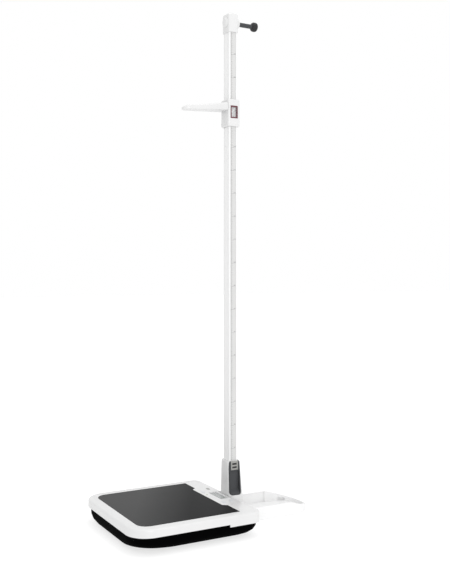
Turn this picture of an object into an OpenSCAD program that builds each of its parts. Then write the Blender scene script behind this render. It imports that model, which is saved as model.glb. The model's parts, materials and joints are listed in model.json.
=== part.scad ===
// Digital floor scale with a four-section height rod that stands on a stabiliser tray.
// The origin is on the floor under the middle of the footprint, +Z is up.
// -Y is the front of the platform, +Y is towards the wall, +X is the side with the tape.

/* [Platform] */
// Width of the platform, side to side
platform_w = 578; // [560:1:600]
// Depth of the platform, front to back
platform_d = 556; // [546:1:566]
// Height of the tread surface above the floor
tread_z = 104; // [104:1:112]
// Height of the cover's lower edge above the floor
skirt_z = 70; // [66:1:72]
// Radius of the two front corners
front_corner_r = 88; // [70:1:95]
// Radius of the two back corners
back_corner_r = 36; // [24:1:44]
// Wall thickness of the plastic covers
shell_t = 3; // [2.5:0.1:4]
// Width of the white rim round the tread mat
rim_w = 41; // [38:1:46]

/* [Console] */
// Half width of the console panel where it meets the mat
console_half_w = 142; // [138:1:150]
// How far the middle of the console reaches into the mat
console_step = 18.5; // [16:0.5:20]
// Size of the display window, side to side
display_w = 112; // [100:1:116]
// Size of the display window, front to back
display_d = 40; // [34:1:41]
// Travel of each key
key_travel = 1.2; // [0.8:0.1:1.3]

/* [Feet] */
// Distance of each foot from the middle plane
foot_x = 184; // [180:1:192]
// Radius of the rubber pad under a foot
foot_pad_r = 20; // [18:1:23]
// Radius of the foot's threaded stud
stud_r = 5; // [4:0.5:6]

/* [Stabiliser] */
// Half width of the stabiliser tray
tray_half_w = 112; // [105:1:120]
// Height of the tray's side walls
tray_wall_z = 58; // [50:1:62]
// Height of the tray's wall at its rounded back end
tray_back_z = 19; // [14:1:26]
// Height of the socket tower's top
tower_z = 252; // [240:1:262]

/* [Rod] */
// Width of the rod, side to side
rod_w = 52; // [52:1:52]
// Depth of the rod, front to back
rod_d = 40; // [40:1:40]
// Wall thickness of the rod
rod_t = 2; // [1.6:0.1:2.4]
// Length of one rod section between two seams
section_len = 460; // [450:1:470]
// Height of the lowest seam above the floor
first_seam_z = 692; // [680:1:700]
// Height of the rod's top end
rod_top_z = 2102; // [2095:1:2110]
// Height of the cap's top
cap_top_z = 2185; // [2178:1:2190]

/* [Head slide] */
// Height of the slide's lower end as the slide stands
slide_z = 1694; // [1500:1:1700]
// Length of the slide along the rod
slide_len = 117; // [110:1:120]
// Half width of the slide
slide_half_w = 34; // [33:0.5:36]
// Reach of the head arm in front of the slide
arm_len = 204; // [180:1:210]

/* [Wall spacer] */
// Radius of the spacer rod
spacer_r = 9.5; // [9.5:0.1:9.5]
// Height of the spacer rod's axis
spacer_z = 2147; // [2140:1:2150]
// Radius of the rubber bumper
bumper_r = 20; // [16:1:22]

/* [Hidden] */

eps = 0.01;

// Places along Y, all from the footprint's depth
footprint_d = 942;
front_y = -footprint_d / 2;
back_y = footprint_d / 2;
platform_back_y = front_y + platform_d;
rod_y = platform_back_y + 13;
tower_front_y = rod_y - 30;

// Levels inside the platform
cover_top_z = tread_z - 1;
mat_t = 3;
deck_top_z = tread_z - mat_t;
deck_under_z = deck_top_z - 3;
rear_skirt_z = skirt_z - 10;
rear_skirt_y = platform_back_y - 149;
pan_floor_z = 8;
pan_floor_t = 4;
pan_lip_z = skirt_z + 9;

// Mat and console outline
mat_half_w = platform_w / 2 - rim_w;
mat_front_y = front_y + rim_w;
mat_back_y = platform_back_y - 83;
mat_corner_r = front_corner_r - rim_w;
console_front_y = mat_back_y - console_step;
console_back_y = tower_front_y - 3;
console_under_z = deck_top_z - 0.5;
console_top_z = tread_z - 0.2;
notch_half_w = 56;
notch_y = tower_front_y - 2;
display_y = console_back_y - 6 - display_d / 2;
key_places = [[-79, console_front_y + 22], [-112, console_back_y - 18],
              [101, console_front_y + 26], [101, console_back_y - 19]];
key_len = 25;
key_d = 12;
board_z = 88;
board_t = 1.6;
vial_place = [-30, console_front_y + 15];
vial_r = 6.5;

// Load frame
load_plate_half_w = 234;
load_plate_front_y = front_y + 58;
load_plate_back_y = console_front_y - 14;
load_plate_t = 3;
load_plate_z = deck_under_z - load_plate_t - 0.2;
rail_d = 36;
rail_h = 16;
rail_t = 2.5;
rail_z = load_plate_z - rail_h;
foot_front_y = front_y + 126;
foot_back_y = load_plate_back_y - 16;
foot_places = [[-foot_x, foot_front_y], [foot_x, foot_front_y], [-foot_x, foot_back_y], [foot_x, foot_back_y]];
cell_len = 110;
cell_w = 26;
cell_h = 18;
cell_z = rail_z - cell_h - 2.4;
cell_bolt_x = [foot_x - 62, foot_x - 84];
foot_disc_z = 5;
screw_seat_z = 50;
case_screw_places = [[-252, -330], [252, -330], [-252, -120], [252, -120],
                     [-120, -436], [120, -436], [-150, 44], [150, 44]];

// Battery bay
battery_y = -180;
battery_slide = 30;
cell_r = 7.25;
aa_len = 50.5;

// Rod
seams = [first_seam_z, first_seam_z + section_len, first_seam_z + 2 * section_len];
socket_floor_z = 78;
rod_bottom_z = socket_floor_z;
rod_starts = [rod_bottom_z, seams[0], seams[1], seams[2]];
rod_ends = [seams[0], seams[1], seams[2], rod_top_z];
tape_w = 25;
tape_t = 0.8;
button_z = tower_z - 20;
button_half_w = 17;
button_half_h = 18.5;
peg_r = 8;
button_face_x = 37.2;
grip_levels = [-11, 3.5];
grip_half_w = 11;
grip_h = 8;
insert_bottom_z = 108;
insert_half_w = 26.5;

// Slide
slide_back_y = rod_y + 30;
slide_front_y = rod_y - 29;
channel_gap = 1;
window_z = slide_z + 62;
window_half_w = 17.5;
window_half_h = 27;
arm_y = slide_front_y - arm_len;
arm_z = slide_z + 68;

// ---------- outlines and small helpers ----------

// A rectangle centred on the origin with round corners of radius r.
module round_rect(w, d, r) {
    square([w - 2 * r, d], center = true);
    square([w, d - 2 * r], center = true);
    for (sx = [-1, 1], sy = [-1, 1]) translate([sx * (w / 2 - r), sy * (d / 2 - r)]) circle(r, $fn = 48);
}

module round_plate(w, d, r, h) {
    linear_extrude(h) round_rect(w, d, r);
}

// The platform's plan, drawn in by inset all round, with its own radii front and back.
module platform_plan(inset, front_r, back_r) {
    half_w = platform_w / 2 - inset;
    y0 = front_y + inset;
    y1 = platform_back_y - inset;
    translate([-half_w, y0 + front_r]) square([2 * half_w, y1 - back_r - y0 - front_r]);
    translate([-half_w + front_r, y0]) square([2 * (half_w - front_r), front_r + eps]);
    translate([-half_w + back_r, y1 - back_r - eps]) square([2 * (half_w - back_r), back_r + eps]);
    for (s = [-1, 1]) {
        translate([s * (half_w - front_r), y0 + front_r]) circle(front_r, $fn = 72);
        translate([s * (half_w - back_r), y1 - back_r]) circle(back_r, $fn = 48);
    }
}

module platform_slab(z, h, inset) {
    translate([0, 0, z]) linear_extrude(h)
        platform_plan(inset, front_corner_r - inset, max(4, back_corner_r - inset));
}

// The base pan is a boat shape: the lower the level, the further in it lies and the rounder its corners.
// The plan has its own insets from the platform's sides, front and back.
module pan_slab(z, side, front, back, front_r, back_r, extra) {
    half_w = platform_w / 2 - side - extra;
    y0 = front_y + front + extra;
    y1 = platform_back_y - back - extra;
    translate([0, 0, z]) linear_extrude(0.5) {
        translate([-half_w, y0 + front_r]) square([2 * half_w, y1 - back_r - y0 - front_r]);
        translate([-half_w + front_r, y0]) square([2 * (half_w - front_r), front_r + eps]);
        translate([-half_w + back_r, y1 - back_r - eps]) square([2 * (half_w - back_r), back_r + eps]);
        for (s = [-1, 1]) {
            translate([s * (half_w - front_r), y0 + front_r]) circle(front_r, $fn = 72);
            translate([s * (half_w - back_r), y1 - back_r]) circle(back_r, $fn = 48);
        }
    }
}

module pan_hull(extra, floor_z, top_z) {
    hull() {
        pan_slab(top_z, 6, 6, 6, 94, 42, extra);
        pan_slab(44, 8, 7, 8, 100, 46, extra);
        pan_slab(30, 13, 9, 13, 112, 52, extra);
        pan_slab(19, 24, 15, 22, 134, 58, extra);
        pan_slab(floor_z + 3, 40, 27, 37, 158, 62, extra);
        pan_slab(floor_z, 50, 38, 48, 160, 64, extra);
    }
}

module mat_plan(gap) {
    r = mat_corner_r - gap;
    hw = mat_half_w - gap;
    difference() {
        union() {
            translate([-hw, mat_front_y + gap + r]) square([2 * hw, mat_back_y - mat_front_y - 2 * gap - r]);
            translate([-hw + r, mat_front_y + gap]) square([2 * (hw - r), r + 1]);
            for (s = [-1, 1]) translate([s * (hw - r), mat_front_y + gap + r]) circle(r, $fn = 72);
        }
        console_plan(-gap - 0.6);
    }
}

// The console's plan: its front edge steps out towards the mat on slanted shoulders.
module console_plan(inset) {
    hw = console_half_w - inset;
    polygon([
        [-hw - 7, console_back_y - inset], [-hw - 7, mat_back_y - 1], [-hw + 7, console_front_y + inset],
        [hw - 7, console_front_y + inset], [hw + 7, mat_back_y - 1], [hw + 7, console_back_y - inset]
    ]);
}

module key_plan(grow) {
    r = key_d / 2 + grow;
    square([key_len - key_d, 2 * r], center = true);
    for (s = [-1, 1]) translate([s * (key_len - key_d) / 2, 0]) circle(r, $fn = 36);
}

module rod_plan(grow) {
    round_rect(rod_w + 2 * grow, rod_d + 2 * grow, 5 + grow);
}

// A round wire wound into a coil along +Z, as one swept tube.
module coil(coil_r, wire_r, length, turns) {
    sides = 8;
    per_turn = 14;
    rings = turns * per_turn;
    ring_at = function (i) [for (k = [0:sides - 1])
        let (a = 360 * i / per_turn, b = 360 * k / sides, r = coil_r + wire_r * cos(b))
        [r * cos(a), r * sin(a), wire_r + (length - 2 * wire_r) * i / rings + wire_r * sin(b)]];
    points = [for (i = [0:rings]) each ring_at(i)];
    walls = [for (i = [0:rings - 1], k = [0:sides - 1])
        let (n = (k + 1) % sides)
        [i * sides + k, (i + 1) * sides + k, (i + 1) * sides + n, i * sides + n]];
    start = [for (k = [0:sides - 1]) k];
    end = [for (k = [sides - 1:-1:0]) rings * sides + k];
    polyhedron(points, concat(walls, [start, end]), convexity = 6);
}

// A cap-head screw standing on z = 0 with its head downwards.
module screw_up(head_r, head_h, shank_r, length) {
    difference() {
        union() {
            cylinder(h = head_h, r = head_r, $fn = 32);
            cylinder(h = length, r = shank_r, $fn = 24);
        }
        translate([0, 0, -eps]) cylinder(h = head_h * 0.55, r = head_r * 0.5, $fn = 6);
    }
}

// ---------- platform ----------

module tread_mat() {
    color([0.24, 0.24, 0.25]) translate([0, 0, deck_top_z]) linear_extrude(mat_t) mat_plan(0.4);
}

module top_cover() {
    inner_back_r = back_corner_r - shell_t;
    color([0.95, 0.95, 0.95]) difference() {
        union() {
            hull() {
                platform_slab(skirt_z, 25, 0);
                platform_slab(cover_top_z - 5, 0.5, 1.2);
                platform_slab(cover_top_z - 2.2, 0.5, 3.4);
                platform_slab(cover_top_z - 0.5, 0.5, 8);
            }
            intersection() {
                platform_slab(rear_skirt_z, 12, 0);
                translate([-platform_w, rear_skirt_y, 0]) cube([2 * platform_w, footprint_d, 200]);
            }
        }
        difference() {
            translate([0, 0, rear_skirt_z - 1]) linear_extrude(deck_under_z - rear_skirt_z + 1)
                platform_plan(shell_t, front_corner_r - shell_t, inner_back_r);
            translate([-notch_half_w - shell_t, notch_y - shell_t, 0])
                cube([2 * (notch_half_w + shell_t), 60, 200]);
            for (p = case_screw_places) translate([p[0], p[1], skirt_z]) cylinder(h = 40, r = 6, $fn = 32);
            for (sx = [-1, 1], y = [console_front_y + 8, console_back_y - 8])
                translate([sx * 132, y, board_z + board_t]) cylinder(h = 20, r = 3.4, $fn = 24);
        }
        translate([-notch_half_w, notch_y, 0]) cube([2 * notch_half_w, 60, 200]);
        translate([0, 0, deck_top_z]) linear_extrude(10) mat_plan(0);
        translate([0, 0, console_under_z]) linear_extrude(10) console_plan(-0.2);
        translate([-127.8, console_front_y + 4, 60]) cube([255.6, console_back_y - console_front_y - 7, 60]);
        for (p = case_screw_places) translate([p[0], p[1], 40]) cylinder(h = 44, r = 1.7, $fn = 24);
    }
}

module console_panel() {
    color([0.93, 0.93, 0.93]) difference() {
        translate([0, 0, console_under_z]) linear_extrude(console_top_z - console_under_z) console_plan(0.2);
        translate([0, display_y, console_top_z - 2.2]) round_plate(display_w + 0.4, display_d + 0.4, 4, 10);
        translate([0, display_y, console_under_z - 1]) round_plate(display_w - 6, display_d - 6, 2, 10);
        for (p = key_places)
            translate([p[0], p[1], console_under_z - 1]) linear_extrude(10) key_plan(0.35);
        translate([vial_place[0], vial_place[1], console_under_z - 1])
            cylinder(h = 10, r = vial_r + 0.1, $fn = 48);
    }
}

module display_lens() {
    color([0.62, 0.66, 0.64, 0.8]) translate([0, display_y, console_top_z - 2.2])
        round_plate(display_w, display_d, 3.8, 2);
}

module display_module() {
    color([0.55, 0.58, 0.56]) difference() {
        translate([0, display_y - 1.5, board_z + board_t]) round_plate(display_w + 6, display_d - 2, 1, 10.7);
        translate([0, display_y - 1.5, board_z + board_t + 10.1])
            round_plate(display_w - 6, display_d - 10, 1, 2);
    }
}

module main_board() {
    board_d = console_back_y - console_front_y - 9;
    color([0.1, 0.38, 0.2]) union() {
        translate([-136, console_front_y + 4.5, board_z]) cube([272, board_d, board_t]);
        for (i = [-2:2]) translate([i * 34 - 6, console_front_y + 24, board_z - 2.2]) cube([12, 9, 2.3]);
        translate([-12, console_front_y + 38, board_z - 2.6]) cube([24, 24, 2.7]);
    }
}

module key_switches() {
    color([0.12, 0.12, 0.12]) for (p = key_places) translate([p[0], p[1], board_z + board_t]) union() {
        translate([-3, -3, 0]) cube([6, 6, 4.4]);
        cylinder(h = 5.6, r = 1.7, $fn = 24);
    }
}

// One key: an oval cap above the panel, a wider flange under it and a stem over its switch.
module key_at(p) {
    stem_z = board_z + board_t + 5.6 + key_travel + 0.3;
    flange_z = console_under_z - 1.5;
    color([0.86, 0.87, 0.88]) translate([p[0], p[1], 0]) union() {
        translate([0, 0, flange_z + 1.4]) linear_extrude(console_top_z + 0.9 - flange_z - 1.4) key_plan(0);
        translate([0, 0, flange_z]) linear_extrude(1.4) key_plan(1.6);
        translate([0, 0, stem_z]) cylinder(h = flange_z + 0.2 - stem_z, r = 2.6, $fn = 24);
    }
}

module level_vial() {
    color([0.7, 0.85, 0.3]) translate([vial_place[0], vial_place[1], console_top_z - 8]) difference() {
        cylinder(h = 8, r = vial_r, $fn = 48);
        translate([0, 0, 5]) cylinder(h = 2.2, r = vial_r - 1.2, $fn = 48);
    }
}

module load_plate() {
    plate_d = load_plate_back_y - load_plate_front_y;
    flange_h = 12;
    color([0.66, 0.68, 0.7]) difference() {
        translate([0, (load_plate_back_y + load_plate_front_y) / 2, load_plate_z - flange_h])
            round_plate(2 * load_plate_half_w, plate_d, 12, load_plate_t + flange_h);
        translate([0, (load_plate_back_y + load_plate_front_y) / 2, load_plate_z - flange_h - 1])
            round_plate(2 * load_plate_half_w - 5, plate_d - 5, 10, flange_h + 1);
    }
}

module cross_rails() {
    color([0.58, 0.6, 0.63]) for (y = [foot_front_y, foot_back_y - 6]) translate([0, y, rail_z]) difference() {
        translate([-226, -rail_d / 2, 0]) cube([452, rail_d, rail_h]);
        translate([-230, -rail_d / 2 + rail_t, rail_t])
            cube([460, rail_d - 2 * rail_t, rail_h - 2 * rail_t]);
        for (s = [-1, 1], x = cell_bolt_x) translate([s * x, y == foot_front_y ? 0 : 6, -1])
            cylinder(h = rail_t + 2, r = 3.1, $fn = 24);
    }
}

// Four bending beams: each is bolted to a rail at its inner end and stands on a foot at its outer end.
module load_cells() {
    color([0.75, 0.76, 0.78]) for (p = foot_places) translate([p[0], p[1], cell_z]) {
        s = sign(p[0]);
        difference() {
            union() {
                translate([s > 0 ? 16 - cell_len : -16, -cell_w / 2, 0]) cube([cell_len, cell_w, cell_h]);
                translate([s > 0 ? -94 : 54, -cell_w / 2, cell_h - eps]) cube([40, cell_w, 2.4 + eps]);
            }
            translate([0, 0, -1]) cylinder(h = cell_h + 2, r = stud_r + 0.06, $fn = 48);
            for (x = cell_bolt_x) translate([s * (x - foot_x), 0, -1])
                cylinder(h = cell_h + 5, r = 3.1, $fn = 24);
            for (dx = [-7, 7]) translate([-s * 34 + dx, 0, cell_h / 2]) rotate([90, 0, 0])
                cylinder(h = cell_w + 2, r = 6, center = true, $fn = 32);
        }
    }
}

module load_cell_bolts() {
    color([0.5, 0.5, 0.52]) for (p = foot_places, x = cell_bolt_x)
        translate([sign(p[0]) * x, p[1], cell_z - 5]) screw_up(5, 5, 3, 33);
}

module base_pan() {
    color([0.07, 0.07, 0.075]) difference() {
        union() {
            difference() {
                pan_hull(0, pan_floor_z, pan_lip_z);
                pan_hull(3.2, pan_floor_z + pan_floor_t, pan_lip_z + 1);
            }
            intersection() {
                for (p = case_screw_places) translate([p[0], p[1], 10])
                    cylinder(h = skirt_z - 10.2, r = 7, $fn = 32);
                pan_hull(0, pan_floor_z, pan_lip_z);
            }
        }
        for (p = foot_places) translate([p[0], p[1], 0]) cylinder(h = 20, r = foot_pad_r + 4, $fn = 64);
        for (p = case_screw_places) translate([p[0], p[1], 0]) {
            cylinder(h = 90, r = 2.2, $fn = 24);
            cylinder(h = screw_seat_z, r = 4.4, $fn = 32);
        }
        for (s = [-1, 1]) translate([s * 90, -70, 0]) cylinder(h = 20, r = 8.5, $fn = 32);
        translate([-notch_half_w - 6, notch_y - 7, 52]) cube([2 * notch_half_w + 12, 80, 60]);
        translate([-54, battery_y - 24, 0]) cube([108, 48, 20]);
        translate([-58.4, battery_y - 26.4, 0]) cube([116.8 + battery_slide, 52.8, pan_floor_z + 3]);
        translate([-58.4, battery_y - 30.4, pan_floor_z + 1.4]) cube([116.8 + battery_slide, 60.8, 1.6]);
    }
}

module case_screws() {
    color([0.55, 0.55, 0.57]) for (p = case_screw_places) translate([p[0], p[1], screw_seat_z - 3.2])
        screw_up(3.9, 3.2, 1.7, 33);
}

module battery_tray() {
    color([0.16, 0.16, 0.17]) translate([0, battery_y, pan_floor_z + pan_floor_t]) difference() {
        translate([-56, -26, 0]) cube([112, 52, 20]);
        translate([-53.5, -23.5, -1]) cube([107, 47, 18.5]);
    }
}

module battery_cells() {
    color([0.2, 0.35, 0.6]) for (sx = [-1, 1], j = [-1:1])
        translate([sx * (aa_len / 2 + 0.6) - aa_len / 2, battery_y + j * 15, pan_floor_z + 4 + 9])
            rotate([0, 90, 0]) union() {
                cylinder(h = aa_len - 1.6, r = cell_r - 0.05, $fn = 32);
                cylinder(h = aa_len, r = 2.6, $fn = 24);
            }
}

module battery_cover() {
    color([0.1, 0.1, 0.1]) translate([-58, battery_y - 30, pan_floor_z + 0.1]) difference() {
        union() {
            translate([0, 4, 0]) cube([116, 52, 2.6]);
            translate([0, 0, 1.5]) cube([116, 60, 1.1]);
        }
        for (i = [0:4]) translate([14 + 5 * i, 18, -1]) cube([2, 24, 1.8]);
    }
}

module foot_stud_at(p) {
    color([0.72, 0.73, 0.75]) translate([p[0], p[1], 0]) union() {
        translate([0, 0, foot_disc_z]) cylinder(h = 5, r = foot_pad_r - 2, $fn = 64);
        translate([0, 0, foot_disc_z + 5 - eps]) cylinder(h = 6, r1 = foot_pad_r - 4, r2 = 9, $fn = 64);
        translate([0, 0, foot_disc_z + 6])
            cylinder(h = cell_z + cell_h - 3 - foot_disc_z - 6, r = stud_r, $fn = 48);
        translate([0, 0, cell_z - 7]) cylinder(h = 6, r = 9, $fn = 6);
    }
}

module foot_pad_at(p) {
    color([0.13, 0.13, 0.13]) translate([p[0], p[1], 0]) difference() {
        cylinder(h = foot_disc_z + 3, r = foot_pad_r, $fn = 64);
        translate([0, 0, foot_disc_z]) cylinder(h = 10, r = foot_pad_r - 2, $fn = 64);
    }
}

// ---------- stabiliser ----------

tray_front_y = platform_back_y + 3;
tray_end_d = 120;

// The tray's plan: straight sides and a half-ellipse at the back, drawn in by inset.
module tray_plan(inset) {
    hw = tray_half_w - inset;
    end_d = tray_end_d - inset;
    centre_y = back_y - tray_end_d;
    polygon(concat(
        [[-hw, tray_front_y + inset], [hw, tray_front_y + inset]],
        [for (a = [0:5:180]) [hw * cos(a), centre_y + end_d * sin(a)]]
    ));
}

module stabiliser_tray() {
    floor_z = 4.5;
    floor_t = 4;
    slope_y = back_y - 136;
    color([0.94, 0.94, 0.94]) difference() {
        translate([0, 0, floor_z]) linear_extrude(tray_wall_z - floor_z) tray_plan(0);
        translate([0, 0, floor_z + floor_t]) linear_extrude(tray_wall_z) union() {
            tray_plan(11);
            intersection() {
                tray_plan(5);
                translate([-tray_half_w, 0]) square([2 * tray_half_w, slope_y]);
            }
        }
        translate([-75.3, back_y - 62.6, 17]) rotate([0, 0, 147]) grip_slot(22, 6.5, 34);
        translate([-200, 0, 0]) rotate([90, 0, 90]) linear_extrude(400) polygon([
            [slope_y, tray_wall_z], [back_y + 20, tray_back_z - 5], [back_y + 20, 200], [slope_y, 200]
        ]);
        translate([-tower_half_w - 2, tray_front_y - 1, floor_z + floor_t])
            cube([2 * tower_half_w + 4, 12, 200]);
        for (s = [-1, 1], y = tower_screw_y) translate([s * 36, y, 0]) cylinder(h = 20, r = 2.6, $fn = 24);
    }
}

// A slot with round ends along Y, cut along X.
module grip_slot(straight, r, depth) {
    cube([depth, straight, 2 * r], center = true);
    for (s = [-1, 1]) translate([0, s * straight / 2, 0]) rotate([0, 90, 0])
        cylinder(h = depth, r = r, center = true, $fn = 36);
}

module tray_pads() {
    color([0.13, 0.13, 0.13]) {
        for (p = [[-78, back_y - 150], [78, back_y - 150], [0, back_y - 34]])
            translate([p[0], p[1], 0]) cylinder(h = 4.5, r = 14, $fn = 48);
        for (y = [-104, 40]) translate([-95, y, 0]) cube([190, 24, 1.5]);
    }
}

module tongue_plate() {
    color([0.6, 0.62, 0.64]) difference() {
        translate([0, 20, 1.5]) round_plate(206, 264, 14, 3);
        for (s = [-1, 1], y = tower_screw_y) translate([s * 36, y, 0]) {
            cylinder(h = 10, r = 2.6, $fn = 24);
            cylinder(h = 3, r = 4.7, $fn = 32);
        }
        translate([0, -20, 0]) round_plate(110, 80, 12, 10);
    }
}

module locating_studs() {
    color([0.5, 0.5, 0.52]) for (s = [-1, 1]) translate([s * 90, -70, 4.5]) cylinder(h = 9, r = 6, $fn = 32);
}

// ---------- socket tower ----------

tower_half_w = 53;
tower_top_half_w = 39;
tower_corner_r = 20;
tower_step_z = 72;
tower_screw_y = [rod_y, rod_y + 30];

// The tapered upper body: its front is upright, its sides and back flare downwards.
module tower_body() {
    hull() {
        translate([0, tower_front_y + 37.5, tower_step_z]) round_plate(2 * tower_half_w, 69, tower_corner_r, 1);
        translate([0, tower_front_y + 31, tower_z - 7])
            round_plate(2 * tower_top_half_w + 0.6, 62.4, tower_corner_r, 1);
        translate([0, tower_front_y + 31, tower_z - 1])
            round_plate(2 * tower_top_half_w - 5, 57, tower_corner_r - 2, 1);
    }
}

// The upright U shape of the insert, as a block across the +X side.
module insert_block(gap) {
    r = 12;
    hw = insert_half_w + gap;
    bottom = insert_bottom_z - gap;
    translate([26, rod_y, 0]) rotate([90, 0, 90]) linear_extrude(40) union() {
        translate([-hw, bottom + r]) square([2 * hw, tower_z]);
        translate([-hw + r, bottom]) square([2 * (hw - r), r + 1]);
        for (s = [-1, 1]) translate([s * (hw - r), bottom + r]) circle(r, $fn = 48);
    }
}

// The slot in which the release button travels, open at the top.
module button_pocket() {
    gap = 0.4;
    translate([20, rod_y - button_half_w - gap, button_z - button_half_h - gap])
        cube([40, 2 * (button_half_w + gap), 80]);
}

module socket_tower() {
    color([0.95, 0.95, 0.95]) difference() {
        union() {
            tower_body();
            translate([-tower_half_w, platform_back_y + 3, 8.5])
                cube([2 * tower_half_w, 52, tower_step_z - 8.4]);
        }
        translate([0, rod_y, socket_floor_z]) linear_extrude(400) rod_plan(0.25);
        intersection() {
            insert_block(0.15);
            translate([31, 0, 0]) cube([40, 300, 400]);
        }
        button_pocket();
        for (s = [-1, 1], y = tower_screw_y) translate([s * 36, y, 8]) cylinder(h = 22, r = 2, $fn = 24);
    }
}

module tower_insert() {
    color([0.27, 0.28, 0.29]) difference() {
        intersection() {
            translate([-1.6, 0, 0]) tower_body();
            insert_block(0);
            translate([31.2, 0, 0]) cube([40, 300, 400]);
        }
        translate([0, rod_y + insert_half_w - 5, 0]) rotate([90, 0, 0])
            linear_extrude(2 * insert_half_w - 10) polygon([
            [32.4, insert_bottom_z + 22], [60, insert_bottom_z - 8],
            [60, button_z - button_half_h - 3], [32.4, button_z - button_half_h - 3]
        ]);
        button_pocket();
    }
}

module tower_screws() {
    color([0.5, 0.5, 0.52]) for (s = [-1, 1], y = tower_screw_y) translate([s * 36, y, 1.7])
        screw_up(4.4, 1.3, 2, 25);
}

// The release button sits in the lowest rod section and locks it into the tower.
module lock_button() {
    head_x = 29;
    color([0.62, 0.63, 0.62]) difference() {
        union() {
            translate([head_x, rod_y - button_half_w, button_z - button_half_h])
                cube([button_face_x - head_x, 2 * button_half_w, 2 * button_half_h]);
            translate([15, rod_y, button_z]) rotate([0, 90, 0])
                cylinder(h = head_x - 15 + eps, r = peg_r, $fn = 48);
        }
        for (z = grip_levels) translate([button_face_x - 3, rod_y - grip_half_w, button_z + z])
            cube([10, 2 * grip_half_w, grip_h]);
    }
}

// Two rubber strips set into the button, a little below its face.
module button_grips() {
    color([0.12, 0.12, 0.12]) for (z = grip_levels)
        translate([button_face_x - 3, rod_y - grip_half_w, button_z + z])
        cube([2.2, 2 * grip_half_w, grip_h]);
}

module lock_spring() {
    color([0.6, 0.6, 0.6]) translate([-23.9, rod_y, button_z]) rotate([0, 90, 0]) coil(6, 0.7, 35.9, 7);
}

// ---------- rod ----------

module rod_piece(i) {
    z0 = rod_starts[i];
    length = rod_ends[i] - z0;
    color([0.9, 0.9, 0.9]) translate([0, rod_y, z0]) difference() {
        linear_extrude(length) rod_plan(0);
        translate([0, 0, -1]) linear_extrude(length + 2) round_rect(rod_w - 2 * rod_t, rod_d - 2 * rod_t, 3);
        translate([rod_w / 2 - tape_t - 0.05, -tape_w / 2 - 0.2, -1]) cube([5, tape_w + 0.4, length + 2]);
        for (sx = [-1, 1], sy = [-1, 1]) translate([sx * 15 - 1.5, sy * rod_d / 2 - 0.9, -1])
            cube([3, 1.8, length + 2]);
        if (i == 0) translate([0, 0, button_z - z0]) rotate([0, 90, 0])
            cylinder(h = 60, r = peg_r + 0.4, $fn = 48);
    }
}

module joint_plug(i) {
    color([0.3, 0.3, 0.31]) translate([0, rod_y, seams[i] - 60]) difference() {
        linear_extrude(120) round_rect(rod_w - 2 * rod_t - 0.2, rod_d - 2 * rod_t - 0.2, 2.8);
        translate([0, 0, -1]) linear_extrude(122) round_rect(rod_w - 2 * rod_t - 8, rod_d - 2 * rod_t - 8, 3);
    }
}

module tape_strips() {
    color([0.92, 0.92, 0.9]) for (i = [0:3]) {
        z0 = max(rod_starts[i], tower_z + 2);
        translate([rod_w / 2 - tape_t, rod_y - tape_w / 2, z0 + 0.1])
            cube([tape_t, tape_w, rod_ends[i] - z0 - 0.2]);
    }
}

// ---------- head slide ----------

module slide_outer() {
    translate([0, (slide_front_y + slide_back_y) / 2, slide_z]) hull() {
        translate([0, 0, 3]) round_plate(2 * slide_half_w, slide_back_y - slide_front_y, 9, slide_len - 6);
        round_plate(2 * slide_half_w - 5, slide_back_y - slide_front_y - 5, 7, slide_len);
    }
}

slide_screw_places = [[slide_back_y - 5, slide_z + 14], [slide_back_y - 5, slide_z + slide_len - 14],
                      [slide_front_y + 4, slide_z + 14], [slide_front_y + 4, slide_z + slide_len - 14]];

// Everything cut out of both halves of the slide.
module slide_cuts() {
    translate([0, rod_y, 0]) linear_extrude(3000) rod_plan(channel_gap);
    translate([-13, rod_y + 10, slide_z + 30]) cube([26, slide_back_y - rod_y - 13, 57]);
    for (p = slide_screw_places) translate([-60, p[0], p[1]]) rotate([0, 90, 0]) {
        cylinder(h = 120 - 32, r = 1.6, $fn = 24);
        cylinder(h = 60 - slide_half_w + 4, r = 3, $fn = 24);
    }
    for (s = [-1, 1]) translate([s * 18, slide_front_y - 1, arm_z + 13]) rotate([-90, 0, 0])
        cylinder(h = 20, r = 2, $fn = 24);
}

module slide_near_shell() {
    color([0.95, 0.95, 0.95]) difference() {
        intersection() {
            slide_outer();
            translate([0, -200, 0]) cube([100, 600, 3000]);
        }
        slide_cuts();
        translate([23, rod_y - window_half_w - 0.1, window_z - window_half_h - 0.1])
            cube([40, 2 * window_half_w + 0.2, 2 * window_half_h + 0.2]);
    }
}

module slide_far_shell() {
    color([0.95, 0.95, 0.95]) difference() {
        intersection() {
            slide_outer();
            translate([-100, -200, 0]) cube([100, 600, 3000]);
        }
        slide_cuts();
    }
}

module slide_screws() {
    color([0.5, 0.5, 0.52]) {
        for (p = slide_screw_places) translate([4 - slide_half_w - 2.2, p[0], p[1]]) rotate([0, 90, 0])
            screw_up(2.9, 2.1, 1.5, 55);
        for (s = [-1, 1]) translate([s * 18, slide_front_y + 7.4, arm_z + 13]) rotate([90, 0, 0])
            screw_up(1.9, 1, 1.9, 22);
    }
}

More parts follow.
